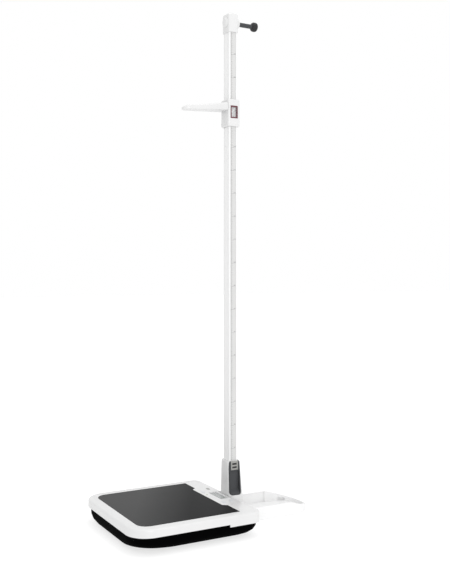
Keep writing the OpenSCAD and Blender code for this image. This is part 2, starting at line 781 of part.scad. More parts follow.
// The head arm is a flat paddle that thins and narrows to a round tip and dips slightly towards it.
module head_arm() {
    root_half_w = slide_half_w + 0.5;
    tip_r = 14;
    color([0.95, 0.95, 0.95]) difference() {
        hull() {
            translate([-root_half_w, slide_front_y - 1, arm_z]) cube([2 * root_half_w, 1, 36]);
            translate([-root_half_w + 4, slide_front_y - 1, arm_z]) cube([2 * root_half_w - 8, 1, 38]);
            translate([-27, arm_y + 47, arm_z - 11]) cube([54, 1, 25]);
            translate([-21, arm_y + 47, arm_z - 11]) cube([42, 1, 28]);
            for (s = [-1, 1]) translate([s * 8, arm_y + tip_r, arm_z - 13.5])
                cylinder(h = 12, r = tip_r, $fn = 32);
            for (s = [-1, 1]) translate([s * 8, arm_y + tip_r + 3, arm_z - 13.5])
                cylinder(h = 15, r = tip_r - 3, $fn = 32);
        }
        for (s = [-1, 1]) translate([s * 18, slide_front_y + 1, arm_z + 13]) rotate([90, 0, 0])
            cylinder(h = 18, r = 1.9, $fn = 24);
    }
}

module window_frame() {
    color([0.36, 0.08, 0.12]) translate([28, rod_y, window_z]) rotate([90, 0, 90]) difference() {
        linear_extrude(slide_half_w - 27) round_rect(2 * window_half_w, 2 * window_half_h, 3);
        translate([0, 0, 2.2]) linear_extrude(20) round_rect(2 * window_half_w - 9, 2 * window_half_h - 9, 3);
        translate([0, 0, -1]) linear_extrude(20) round_rect(2 * window_half_w - 14, 2 * window_half_h - 14, 2);
    }
}

module reading_lens() {
    color([0.9, 0.92, 0.95, 0.35]) translate([30.3, rod_y, window_z]) rotate([90, 0, 90])
        linear_extrude(1.6) round_rect(2 * window_half_w - 9.4, 2 * window_half_h - 9.4, 2.8);
}

// Thin slippery pads between the slide and the rod, near both ends of the slide.
module glide_shoes() {
    play = 0.08;
    pad_t = channel_gap - play;
    color([0.85, 0.85, 0.8]) for (z = [slide_z + 6, slide_z + slide_len - 18]) {
        for (y = [rod_y - rod_d / 2 - channel_gap, rod_y + rod_d / 2 + play])
            translate([-12, y, z]) cube([24, pad_t, 12]);
        translate([-rod_w / 2 - channel_gap, rod_y - 10, z]) cube([pad_t, 20, 12]);
        for (s = [-1, 1]) translate([rod_w / 2 + play, rod_y + s * 14 - 1, z]) cube([pad_t, 2, 12]);
    }
}

module brake_pad() {
    color([0.15, 0.15, 0.15]) translate([-12, rod_y + rod_d / 2 + 0.08, slide_z + 38]) cube([24, 3.4, 41]);
}

// A bowed strip of spring steel behind the brake pad.
module brake_spring() {
    bow_r = 130;
    strip_t = 0.5;
    back = slide_back_y - 3.1;
    color([0.7, 0.7, 0.72]) intersection() {
        translate([-10, back - strip_t - bow_r, slide_z + 58.5]) rotate([0, 90, 0]) difference() {
            cylinder(h = 20, r = bow_r + strip_t, $fn = 120);
            translate([0, 0, -1]) cylinder(h = 22, r = bow_r, $fn = 120);
        }
        translate([-20, rod_y + rod_d / 2 + 3.6, slide_z + 31]) cube([40, 20, 55]);
    }
}

// ---------- cap and wall spacer ----------

module top_cap() {
    boss_r = 22.5;
    color([0.94, 0.94, 0.94]) difference() {
        union() {
            translate([0, rod_y, rod_top_z]) hull() {
                round_plate(rod_w + 8, rod_d + 7, 8, cap_top_z - rod_top_z - 8);
                translate([0, 0, cap_top_z - rod_top_z - 3.2]) round_plate(rod_w + 3, rod_d + 2, 7, 0.5);
                translate([0, 0, cap_top_z - rod_top_z - 0.5]) round_plate(rod_w - 6, rod_d - 7, 5, 0.5);
            }
            translate([0, rod_y, rod_top_z - 42])
                round_plate(rod_w - 2 * rod_t - 0.2, rod_d - 2 * rod_t - 0.2, 2.8, 43);
            translate([0, rod_y - 26, spacer_z]) rotate([-90, 0, 0]) cylinder(h = 60, r = boss_r, $fn = 96);
            translate([0, rod_y - 31, spacer_z]) rotate([-90, 0, 0])
                cylinder(h = 5.1, r1 = 15, r2 = boss_r, $fn = 96);
            translate([0, rod_y + 33.9, spacer_z]) rotate([-90, 0, 0])
                cylinder(h = 6.1, r1 = boss_r, r2 = 15, $fn = 96);
        }
        translate([0, rod_y - 26, spacer_z]) rotate([-90, 0, 0])
            cylinder(h = 80, r = spacer_r + 0.06, $fn = 96);
    }
}

spacer_end_y = rod_y + 120;

module spacer_rod() {
    start_y = rod_y - 24;
    color([0.12, 0.12, 0.13]) translate([0, start_y, spacer_z]) rotate([-90, 0, 0]) union() {
        cylinder(h = spacer_end_y - start_y - 8, r = spacer_r, $fn = 96);
        cylinder(h = spacer_end_y - start_y, r = spacer_r - 2, $fn = 64);
    }
}

module spacer_bumper() {
    bulge_r = 9;
    length = 29;
    color([0.1, 0.1, 0.1]) translate([0, spacer_end_y + 14, spacer_z]) rotate([90, 0, 0]) difference() {
        rotate_extrude($fn = 72) union() {
            square([bumper_r - bulge_r, length]);
            translate([0, bulge_r]) square([bumper_r, length - 2 * bulge_r]);
            for (y = [bulge_r, length - bulge_r]) translate([bumper_r - bulge_r, y]) circle(bulge_r, $fn = 48);
        }
        translate([0, 0, 22]) cylinder(h = 20, r = spacer_r, $fn = 96);
        translate([0, 0, 14]) cylinder(h = 9, r = spacer_r - 2, $fn = 64);
    }
}

// ---------- one line for each piece ----------

tread_mat();
top_cover();
console_panel();
display_lens();
display_module();
main_board();
key_switches();
key_at(key_places[0]);  // key_power
key_at(key_places[1]);  // key_zero
key_at(key_places[2]);  // key_hold
key_at(key_places[3]);  // key_units
level_vial();
load_plate();
cross_rails();
load_cells();
load_cell_bolts();
base_pan();
case_screws();
battery_tray();
battery_cells();
battery_cover();
foot_stud_at(foot_places[0]);  // foot_stud_1
foot_stud_at(foot_places[1]);  // foot_stud_2
foot_stud_at(foot_places[2]);  // foot_stud_3
foot_stud_at(foot_places[3]);  // foot_stud_4
foot_pad_at(foot_places[0]);  // foot_pad_1
foot_pad_at(foot_places[1]);  // foot_pad_2
foot_pad_at(foot_places[2]);  // foot_pad_3
foot_pad_at(foot_places[3]);  // foot_pad_4
tongue_plate();
locating_studs();
stabiliser_tray();
tray_pads();
socket_tower();
tower_insert();
tower_screws();
lock_button();
button_grips();
lock_spring();
rod_piece(0);  // rod_section_1
rod_piece(1);  // rod_section_2
rod_piece(2);  // rod_section_3
rod_piece(3);  // rod_section_4
joint_plug(0);  // joint_plug_1
joint_plug(1);  // joint_plug_2
joint_plug(2);  // joint_plug_3
tape_strips();
slide_near_shell();
slide_far_shell();
slide_screws();
head_arm();
window_frame();
reading_lens();
glide_shoes();
brake_pad();
brake_spring();
top_cap();
spacer_rod();
spacer_bumper();
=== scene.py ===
"""Looks of a digital floor scale with a sectional height rod, laid out as a Blender add-on."""

import json
import math

import bmesh
import bpy
import numpy as np
from bpy.props import FloatProperty, FloatVectorProperty, IntProperty, PointerProperty
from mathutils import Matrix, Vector


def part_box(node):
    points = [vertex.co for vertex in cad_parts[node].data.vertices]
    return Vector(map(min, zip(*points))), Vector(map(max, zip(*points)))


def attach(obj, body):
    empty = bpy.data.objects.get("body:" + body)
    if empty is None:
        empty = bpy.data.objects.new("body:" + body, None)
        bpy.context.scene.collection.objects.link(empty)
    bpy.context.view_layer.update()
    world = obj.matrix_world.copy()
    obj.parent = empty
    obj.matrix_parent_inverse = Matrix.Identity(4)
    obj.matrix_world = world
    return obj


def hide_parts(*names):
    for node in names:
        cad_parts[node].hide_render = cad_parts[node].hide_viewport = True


bl_info = {
    "name": "Floor Scale with Height Rod",
    "version": (1, 0, 0),
    "blender": (4, 5, 0),
    "location": "3D View > Sidebar > Floor Scale",
    "description": "Finishes each piece of a floor scale and its height rod, "
                   "and sets a plain studio round it",
    "category": "Object",
}

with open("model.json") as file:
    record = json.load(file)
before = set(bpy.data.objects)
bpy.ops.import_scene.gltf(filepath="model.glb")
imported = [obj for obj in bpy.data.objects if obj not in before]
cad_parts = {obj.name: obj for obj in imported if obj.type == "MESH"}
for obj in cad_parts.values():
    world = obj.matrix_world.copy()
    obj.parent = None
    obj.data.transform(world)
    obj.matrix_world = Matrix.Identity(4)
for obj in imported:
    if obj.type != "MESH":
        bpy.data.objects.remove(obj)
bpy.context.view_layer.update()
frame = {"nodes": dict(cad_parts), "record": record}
SLOT_OF = {s["node"]: s["material_slot"] for s in frame["record"]["subparts"]}
BODY_OF = {n: b for b, ns in frame["record"]["behaviour"]["bodies"].items() for n in ns}
MM = 0.001
TREAD_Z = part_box("tread_mat")[1].z


# ---------------------------------------------------------------- sizes and colours


def colour(name, text, default):
    return FloatVectorProperty(
        name=name, description=text, subtype="COLOR", size=3, min=0, max=1, default=default)


def length(name, text, default):
    return FloatProperty(name=name, description=text, default=default, min=0, unit="LENGTH")


class ScaleFinish(bpy.types.PropertyGroup):
    """Colours and edge roundings of the scale's pieces."""

    white: colour("White plastic", "Colour of the covers, tower, slide and cap",
                  (0.665, 0.665, 0.665))
    tray: colour("Tray", "Colour of the stabiliser tray", (0.80, 0.80, 0.80))
    rod_white: colour("Rod", "Colour of the coated rod sections", (0.77, 0.77, 0.77))
    mat: colour("Tread mat", "Colour of the rubber tread", (0.0065, 0.0067, 0.0071))
    # The base pan's colour is far darker than black plastic: the base is black, and the extra
    # darkness is painted shade standing in for the shadow beneath the platform.
    pan: colour("Base pan", "Colour of the black base", (0.0006, 0.0006, 0.0007))
    grey: colour("Dark grey", "Colour of the tower's inset plate and the coupling plugs",
                 (0.047, 0.049, 0.053))
    button: colour("Release button", "Colour of the grey release button", (0.30, 0.30, 0.285))
    key: colour("Keys", "Colour of the console keys", (0.62, 0.64, 0.66))
    window: colour("Window frame", "Colour of the reading window's frame", (0.11, 0.018, 0.028))
    tape: colour("Tape", "Colour of the measuring tape", (0.58, 0.58, 0.575))
    # This ink also paints the line of painted shade along each edge of the tape.
    ink: colour("Ticks", "Colour of the tape's ticks and numerals", (0.05, 0.05, 0.055))
    display: colour("Display", "Colour of the unlit display", (0.27, 0.285, 0.275))
    edge: length("Edge rounding", "Rounding of the moulded edges", 0.9 * MM)
    fine_edge: length("Fine edge rounding", "Rounding of small and metal edges", 0.35 * MM)


class ScaleRuler(bpy.types.PropertyGroup):
    """The measuring tape's printing."""

    numeral_height: length("Numeral height", "Height of the tape's numerals", 5.2 * MM)
    first: IntProperty(name="First numeral", default=20, min=0,
                       description="Lowest height printed, in centimetres")
    last: IntProperty(name="Last numeral", default=190, min=10,
                      description="Highest height printed, in centimetres")


class ScaleStudio(bpy.types.PropertyGroup):
    """Camera and light."""

    focal: FloatProperty(name="Lens", default=50.73, subtype="DISTANCE_CAMERA",
                         description="Focal length of the camera")
    eye: FloatVectorProperty(name="Camera place", size=3, unit="LENGTH",
                             default=(3.0677, -1.6315, 1.066),
                             description="Where the camera stands")
    turn: FloatProperty(name="View direction", default=math.radians(180 - 29.038), subtype="ANGLE",
                        description="Heading of the camera, from +X towards +Y")
    rise: FloatProperty(name="Vertical shift", default=-0.02696,
                        description="Camera shift as a share of the long side")
    sky: FloatProperty(name="Sky strength", default=1.0,
                       description="Strength of the even white surround")
    lamp: FloatProperty(name="Lamp strength", default=95.0, unit="POWER",
                        description="Power of the key lamp")


# ---------------------------------------------------------------- shader maths


class Wire:
    """A socket that takes part in sums: each operator adds one Math node."""

    def __init__(self, shade, socket):
        self.shade = shade
        self.socket = socket

    def maths(self, operation, *others):
        sockets = dict(enumerate((self, *others)))
        return self.shade.node("ShaderNodeMath", {"operation": operation}, sockets)[0]

    def __add__(self, other):
        return self.maths("ADD", other)

    def __mul__(self, other):
        return self.maths("MULTIPLY", other)

    def __sub__(self, other):
        return self.maths("SUBTRACT", other)

    def __rsub__(self, other):
        return (self * -1.0) + other

    def __truediv__(self, other):
        return self.maths("DIVIDE", other)

    def __gt__(self, other):
        return self.maths("GREATER_THAN", other)

    def __lt__(self, other):
        return self.maths("LESS_THAN", other)

    def __mod__(self, other):
        return self.maths("FLOORED_MODULO", other)

    def __abs__(self):
        return self.maths("ABSOLUTE")

    def __pow__(self, other):
        return self.maths("POWER", other)


class Shade:
    """One material and its nodes."""

    OBJECT_COORDINATES = 3  # output of the Texture Coordinate node
    MIX_COLOURS = (6, 7)  # inputs of the Mix node when it mixes colours
    MIX_COLOUR_RESULT = 2  # its output

    def __init__(self, name, **constants):
        self.material = bpy.data.materials.new(name)
        self.material.use_nodes = True
        self.tree = self.material.node_tree
        self.tree.nodes.clear()
        self.surface = self.tree.nodes.new("ShaderNodeBsdfPrincipled")
        output = self.tree.nodes.new("ShaderNodeOutputMaterial")
        self.tree.links.new(self.surface.outputs["BSDF"], output.inputs["Surface"])
        for socket, value in constants.items():
            self.surface.inputs[socket.replace("_", " ")].default_value = value

    def node(self, kind, settings=None, sockets=None):
        """Adds a node, sets its settings, then its sockets, and returns its outputs as wires."""
        made = self.tree.nodes.new(kind)
        for key, value in (settings or {}).items():
            setattr(made, key, value)
        for key, value in (sockets or {}).items():
            if isinstance(value, Wire):
                self.tree.links.new(value.socket, made.inputs[key])
            else:
                made.inputs[key].default_value = value
        return [Wire(self, s) for s in made.outputs]

    def coordinates(self):
        return self.node("ShaderNodeTexCoord")[self.OBJECT_COORDINATES]

    def place(self, stretch=(1.0, 1.0, 1.0)):
        """The point in the object's own metres, stretched along each axis."""
        sockets = {"Vector": self.coordinates(), "Scale": stretch}
        return self.node("ShaderNodeMapping", {}, sockets)[0]

    def axes(self):
        """The point's X, Y and Z in metres."""
        return self.node("ShaderNodeSeparateXYZ", {}, {0: self.coordinates()})

    def noise(self, scale, detail=2.0, stretch=(1.0, 1.0, 1.0), roughness=0.5):
        sockets = {"Vector": self.place(stretch), "Scale": scale, "Detail": detail,
                   "Roughness": roughness}
        return self.node("ShaderNodeTexNoise", {}, sockets)[0]

    def cells(self, scale, feature="F1"):
        sockets = {"Vector": self.place(), "Scale": scale}
        return self.node("ShaderNodeTexVoronoi", {"feature": feature}, sockets)[0]

    def ramp(self, factor, *stops):
        """A grey that runs evenly between two stops, each a (place, tone) pair."""
        grey = self.node("ShaderNodeValToRGB", {}, {0: factor})[0]
        for element, (place, tone) in zip(grey.socket.node.color_ramp.elements, stops):
            element.position = place
            element.color = (tone, tone, tone, 1.0)
        return grey

    def blend(self, factor, first, second):
        """A colour between first and second."""
        sockets = {0: factor}
        for key, value in zip(self.MIX_COLOURS, (first, second)):
            sockets[key] = value if isinstance(value, Wire) else (*value, 1.0)
        return self.node("ShaderNodeMix", {"data_type": "RGBA"}, sockets)[self.MIX_COLOUR_RESULT]

    def feed(self, **wires):
        for socket, wire in wires.items():
            self.tree.links.new(wire.socket, self.surface.inputs[socket.replace("_", " ")])

    def bump(self, height, depth, strength):
        """Raises the surface by height times depth metres."""
        sockets = {"Height": height, "Distance": depth, "Strength": strength}
        self.feed(Normal=self.node("ShaderNodeBump", {}, sockets)[0])


def shade_of(base, amount):
    """A colour made darker (amount below 1) or lighter."""
    return tuple(min(1.0, c * amount) for c in base)


def moulded_plastic(name, base, rough=0.34, grain=5200.0, depth=0.02 * MM, coat=0.0, shine=0.5):
    """Moulded plastic: a faintly cloudy colour, a fine spark-eroded grain and rubbed patches."""
    shade = Shade(name, Coat_Weight=coat, Coat_Roughness=0.12, Specular_IOR_Level=shine)
    cloud = shade.noise(9.0, 4.0)
    speck = shade.noise(420.0, 3.0)
    tone = shade.blend(cloud * 0.7 + speck * 0.3, shade_of(base, 0.93), shade_of(base, 1.05))
    rubbed = shade.noise(34.0, 5.0, roughness=0.65)
    shade.feed(Base_Color=tone, Roughness=rubbed * 0.14 + (rough - 0.07) + speck * 0.04)
    shade.bump(shade.noise(grain, 2.0) * 0.6 + shade.cells(grain * 0.5) * 0.4, depth, 0.5)
    return shade.material


def coated_metal(name, base):
    """Powder-coated extrusion: drawn lines along Z under an orange-peel coat."""
    shade = Shade(name, Coat_Weight=0.25, Coat_Roughness=0.18, Specular_IOR_Level=0.5)
    drawn = shade.noise(900.0, 3.0, (1.0, 1.0, 0.004))
    cloud = shade.noise(6.0, 3.0, (1.0, 1.0, 0.35))
    peel = shade.noise(1500.0, 2.0)
    tone = shade.blend(cloud * 0.6 + drawn * 0.4, shade_of(base, 0.95), shade_of(base, 1.04))
    shade.feed(Base_Color=tone, Roughness=drawn * 0.10 + peel * 0.08 + 0.26)
    shade.bump(peel * 0.7 + drawn * 0.3, 0.03 * MM, 0.6)
    return shade.material


def tread_rubber(name, base):
    """Tread rubber: a dense pebble grain, a few pale scuffs, a dusty bloom and a fading sheen.

    The sheen falls evenly from 1 to 0 along q = 0.485 x + 0.874 y, over 1/4.5 m from q = -0.30 m.
    """
    shade = Shade(name, Specular_IOR_Level=0.07, Coat_Roughness=0.42)
    x, y, _ = shade.axes()
    sheen_start, sheen_rate, sheen_strength = -0.30, 4.5, 0.42
    along = (x * 0.485 + y * 0.874 - sheen_start) * sheen_rate
    sheen = shade.ramp(along, (0.0, 1.0), (1.0, 0.0))
    pebble = shade.cells(620.0, "SMOOTH_F1")
    dust = shade.noise(2.6, 6.0, roughness=0.55)
    scuff = shade.ramp(shade.noise(26.0, 7.0, (1.0, 3.2, 1.0), 0.7), (0.62, 0.0), (0.80, 1.0))
    tone = shade.blend(dust, shade_of(base, 0.6), shade_of(base, 1.9))
    shade.feed(Base_Color=shade.blend(scuff * 0.22, tone, shade_of(base, 2.6)),
               Roughness=dust * 0.16 + pebble * 0.10 + 0.40, Coat_Weight=sheen * sheen_strength)
    shade.bump(1.0 - pebble, 0.16 * MM, 0.7)
    return shade.material


def plain_rubber(name, base):
    """Smooth moulded rubber, dull, with a slight bloom."""
    shade = Shade(name, Specular_IOR_Level=0.35)
    bloom = shade.noise(60.0, 6.0, roughness=0.65)
    shade.feed(Base_Color=shade.blend(bloom, shade_of(base, 0.8), shade_of(base, 1.5)),
               Roughness=bloom * 0.2 + 0.5)
    shade.bump(shade.noise(2600.0, 2.0), 0.04 * MM, 0.6)
    return shade.material


def brushed_metal(name, base, along=(0.02, 1.0, 1.0), rough=0.3):
    """Brushed metal: fine scratches drawn out along one axis over a slowly changing tone."""
    shade = Shade(name, Metallic=1.0)
    scratch = shade.noise(1400.0, 4.0, along)
    cloud = shade.noise(14.0, 3.0)
    tone = shade.blend(scratch * 0.6 + cloud * 0.4, shade_of(base, 0.82), shade_of(base, 1.1))
    shade.feed(Base_Color=tone, Roughness=scratch * 0.22 + rough - 0.08)
    shade.bump(scratch, 0.015 * MM, 0.5)
    return shade.material


def ruler_tape(name, base, ink):
    """Printed tape: a tick every millimetre, longer at five and ten, and a line of painted shade
    at each edge for the shadow in the groove beside the tape.

    The ticks are counted up from the tread's level. Lengths are in metres.
    """
    shade = Shade(name, Specular_IOR_Level=0.45, Coat_Weight=0.2, Coat_Roughness=0.2)
    low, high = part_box("tape_strips")
    _, y, z = shade.axes()
    across = y - low.y
    above = z - TREAD_Z

    def tick(step, width, reach):
        """Ink within half a width of each step of height, and within reach of the edge."""
        offset = abs((above + step / 2) % step - step / 2)
        return (offset < width / 2) * (across < reach)

    marks = tick(0.001, 0.00026, 0.0045) * 0.75
    for longer in (tick(0.005, 0.00034, 0.0068) * 0.9,
                   tick(0.01, 0.0005, 0.0105),
                   tick(0.1, 0.0009, 0.0145)):
        marks = marks.maths("MAXIMUM", longer)
    half_tape = (high.y - low.y) * 0.5
    # A thin line of painted shade runs along each edge of the tape, in the ticks' ink at 0.3
    # strength, standing in for the shadow in the groove beside the tape.
    line_width, groove_shade_strength = 0.0014, 0.3
    groove_shade_line = (abs(across - half_tape) > half_tape - line_width) * groove_shade_strength
    print_wear = shade.noise(900.0, 3.0) * 0.25 + 0.75
    paper = shade.blend(shade.noise(18.0, 4.0), shade_of(base, 0.96), shade_of(base, 1.03))
    shade.feed(Base_Color=shade.blend(marks.maths("MAXIMUM", groove_shade_line) * print_wear, paper, ink),
               Roughness=shade.noise(240.0, 3.0) * 0.12 + 0.28)
    return shade.material


def numeral_ink(name, ink):
    """Printed numerals with slightly broken ink."""
    shade = Shade(name, Specular_IOR_Level=0.3)
    broken = shade.noise(1800.0, 3.0)
    shade.feed(Base_Color=shade.blend(broken, shade_of(ink, 0.8), shade_of(ink, 2.2)),
               Roughness=broken * 0.2 + 0.45)
    return shade.material


def display_panel(name, base):
    """An unlit display: a fine grid of lines over a tone that darkens along X."""
    shade = Shade(name, Specular_IOR_Level=0.4)
    low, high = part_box("display_module")
    x, y, _ = shade.axes()
    along = (x - low.x) / (high.x - low.x)
    pitch, line_width = 1.1 * MM, 0.1 * MM
    grid = ((x % pitch) < line_width).maths("MAXIMUM", (y % pitch) < line_width)
    tone = shade.blend(along ** 2.0 * 0.6, shade_of(base, 1.12), shade_of(base, 0.72))
    shade.feed(Base_Color=shade.blend(grid * 0.18, tone, shade_of(base, 0.5)),
               Roughness=shade.noise(300.0) * 0.1 + 0.2)
    return shade.material


def clear_plastic(name, tint, alpha):
    """Clear polished plastic with faint wipe marks."""
    shade = Shade(name, Alpha=alpha, Coat_Weight=0.6, Coat_Roughness=0.04)
    wipe = shade.noise(40.0, 6.0, (1.0, 5.0, 1.0), 0.7)
    shade.feed(Base_Color=shade.blend(wipe, shade_of(tint, 0.94), tint),
               Roughness=wipe * 0.12 + 0.04)
    return shade.material


def circuit_board(name, base):
    """Circuit board: green mask over a maze of slightly raised tracks, with tinned pads."""
    shade = Shade(name, Coat_Weight=0.4, Coat_Roughness=0.15)
    tracks = shade.node("ShaderNodeTexBrick", {"offset": 0.37}, {
        "Vector": shade.place(), "Scale": 130.0, "Mortar Size": 0.06, "Bias": -0.2})[1]
    pads = shade.cells(260.0) < 0.16
    tone = shade.blend(tracks, shade_of(base, 0.75), shade_of(base, 1.7))
    shade.feed(Base_Color=shade.blend(pads, tone, (0.62, 0.63, 0.6)), Metallic=pads * 0.9,
               Roughness=shade.noise(90.0) * 0.2 + 0.3)
    shade.bump(tracks.maths("MAXIMUM", pads), 0.04 * MM, 0.8)
    return shade.material


def battery_wrap(name, base):
    """Shrink-wrapped cells: a coloured sleeve, a pale band and bare metal at each cell's ends.

    Each cell's middle is 25.85 mm from x = 0; the bands and ends are measured from there.
    """
    shade = Shade(name, Coat_Weight=0.5, Coat_Roughness=0.08)
    x, _, _ = shade.axes()
    cell_middle = 0.02585
    from_middle = abs(abs(x) - cell_middle)
    band = (from_middle > 0.010) * (from_middle < 0.016)
    metal = from_middle > 0.0236
    sleeve = shade.blend(shade.noise(70.0, 4.0), shade_of(base, 0.8), shade_of(base, 1.3))
    tone = shade.blend(band, sleeve, (0.7, 0.68, 0.6))
    shade.feed(Base_Color=shade.blend(metal, tone, (0.6, 0.6, 0.62)), Metallic=metal * 0.95,
               Roughness=shade.noise(200.0, 3.0) * 0.15 + 0.2)
    return shade.material


def window_plastic(name, base):
    """Glossy dark red frame with a fine swirl left by polishing."""
    shade = Shade(name, Coat_Weight=0.5, Coat_Roughness=0.1)
    swirl = shade.noise(120.0, 5.0, (1.0, 1.0, 2.5))
    shade.feed(Base_Color=shade.blend(swirl, shade_of(base, 0.75), shade_of(base, 1.3)),
               Roughness=swirl * 0.16 + 0.18)
    shade.bump(shade.noise(2400.0), 0.02 * MM, 0.4)
    return shade.material


def all_finishes(look):
    """Every slot of the record with its finish."""
    return {
        "white_plastic": moulded_plastic("white_plastic", look.white, 0.33, 4200.0, 0.03 * MM,
                                         coat=0.12),
        "tray_white": moulded_plastic("tray_white", look.tray, 0.4, 3600.0, 0.03 * MM),
        "rod_white": coated_metal("rod_white", look.rod_white),
        "mat_rubber": tread_rubber("mat_rubber", look.mat),
        # The base pan's near-zero colour and shine are partly the black plastic and partly painted
        # shade for the shadow under the platform.
        "black_plastic": moulded_plastic("black_plastic", look.pan, 0.75, 2600.0, 0.08 * MM,
                                         shine=0.015),
        "grey_plastic": moulded_plastic("grey_plastic", look.grey, 0.5, 3200.0, 0.05 * MM,
                                        shine=0.3),
        "button_grey": moulded_plastic("button_grey", look.button, 0.42, 3200.0, 0.05 * MM),
        "key_grey": moulded_plastic("key_grey", look.key, 0.3, 4800.0, 0.02 * MM, 0.2),
        "window_red": window_plastic("window_red", look.window),
        "clear": clear_plastic("clear", (0.86, 0.88, 0.9), 0.12),
        "lcd": display_panel("lcd", look.display),
        "circuit": circuit_board("circuit", (0.012, 0.13, 0.045)),
        "tape": ruler_tape("tape", look.tape, look.ink),
        "ink": numeral_ink("ink", look.ink),
        "steel": brushed_metal("steel", (0.52, 0.53, 0.55)),
        "cell_alloy": brushed_metal("cell_alloy", (0.70, 0.71, 0.73), (1.0, 0.03, 1.0), 0.36),
        "foot_rubber": plain_rubber("foot_rubber", (0.02, 0.02, 0.021)),
        "battery_wrap": battery_wrap("battery_wrap", (0.03, 0.10, 0.32)),
        "vial_liquid": clear_plastic("vial_liquid", (0.66, 0.72, 0.55), 0.8),
        "shoe_plastic": moulded_plastic("shoe_plastic", (0.66, 0.66, 0.62), 0.4),
    }


FINISHES = {}


def finish(slot_name):
    """The material of a slot, made once from the panel's colours."""
    if not FINISHES:
        FINISHES.update(all_finishes(bpy.context.scene.scale_finish))
    return FINISHES[slot_name]


# ---------------------------------------------------------------- making pieces


def coat(obj, slot_name):
    """Gives a piece the finish of a slot and nothing else."""
    obj.data.materials.clear()
    obj.data.materials.append(finish(slot_name))


def keep_nodes(*names):
    """CAD pieces whose shape is right: they stay, with the finish of their slot."""
    for name in names:
        coat(frame["nodes"][name], SLOT_OF[name])


def settle(obj, body, slot_name, *replaced):
    """Puts a new piece on its body, with its finish, in place of the CAD pieces it stands for."""
    coat(obj, slot_name)
    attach(obj, body)
    if replaced:
        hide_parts(*replaced)
    return obj


def link(name, mesh):
    obj = bpy.data.objects.new(name, mesh)
    bpy.context.scene.collection.objects.link(obj)
    return obj


def rounded_copy(node, width, sharp=math.radians(32), segments=2):
    """A copy of a CAD piece with whole flat faces, smoothly shaded curves and rounded edges.

    Corners closer than 2 micrometres are merged, and faces within 0.6 degrees of each other are
    joined. Edges sharper than the given angle get the rounding.
    """
    mesh = frame["nodes"][node].data.copy()
    shape = bmesh.new()
    shape.from_mesh(mesh)
    bmesh.ops.remove_doubles(shape, verts=shape.verts, dist=0.002 * MM)
    bmesh.ops.dissolve_limit(shape, angle_limit=math.radians(0.6), verts=shape.verts,
                             edges=shape.edges)
    for face in shape.faces:
        face.smooth = True
    shape.to_mesh(mesh)
    shape.free()
    if "custom_normal" in mesh.attributes:
        mesh.attributes.remove(mesh.attributes["custom_normal"])
    mesh.set_sharp_from_angle(angle=sharp)
    obj = link(node + "_finished", mesh)
    if width > 0:
        bevel = obj.modifiers.new("Rounding", "BEVEL")
        bevel.limit_method = "ANGLE"
        bevel.angle_limit = sharp
        bevel.width = width
        bevel.segments = segments
        bevel.harden_normals = True
        bevel.miter_outer = "MITER_ARC"
    return settle(obj, BODY_OF[node], SLOT_OF[node], node)


def grid_mesh(name, points, closed=True):
    """A mesh through a grid of points, in rings by places round each ring.

    A closed grid joins each ring's last place to its first and caps the first and last rings.
    """
    rings, around = points.shape[:2]
    index = np.arange(rings * around).reshape(rings, around)
    here, following = index, np.roll(index, -1, axis=1)
    if not closed:
        here, following = here[:, :-1], following[:, :-1]
    quads = np.stack([here[:-1], following[:-1], following[1:], here[1:]], axis=-1)
    faces = [tuple(quad) for quad in quads.reshape(-1, 4).tolist()]
    if closed:
        faces += [tuple(index[0][::-1].tolist()), tuple(index[-1].tolist())]
    mesh = bpy.data.meshes.new(name)
    mesh.from_pydata(points.reshape(-1, 3).tolist(), [], faces)
    mesh.polygons.foreach_set("use_smooth", np.ones(len(mesh.polygons), bool))
    mesh.update()
    shape = bmesh.new()
    shape.from_mesh(mesh)
    bmesh.ops.recalc_face_normals(shape, faces=shape.faces)
    shape.to_mesh(mesh)
    shape.free()
    return mesh


def lathe(name, profile, start, sides=96):
    """Turns (distance along +Y, radius) pairs round a line along +Y from start.

    At angle a a point lies at x = r cos a and z = r sin a from the line.
    """
    turn = np.linspace(0, 2 * np.pi, sides, endpoint=False)
    along, radius = np.asarray(profile, float).T
    points = np.stack([
        start[0] + radius[:, None] * np.cos(turn),
        start[1] + np.repeat(along[:, None], sides, axis=1),
        start[2] + radius[:, None] * np.sin(turn)], axis=-1)
    return grid_mesh(name, points)


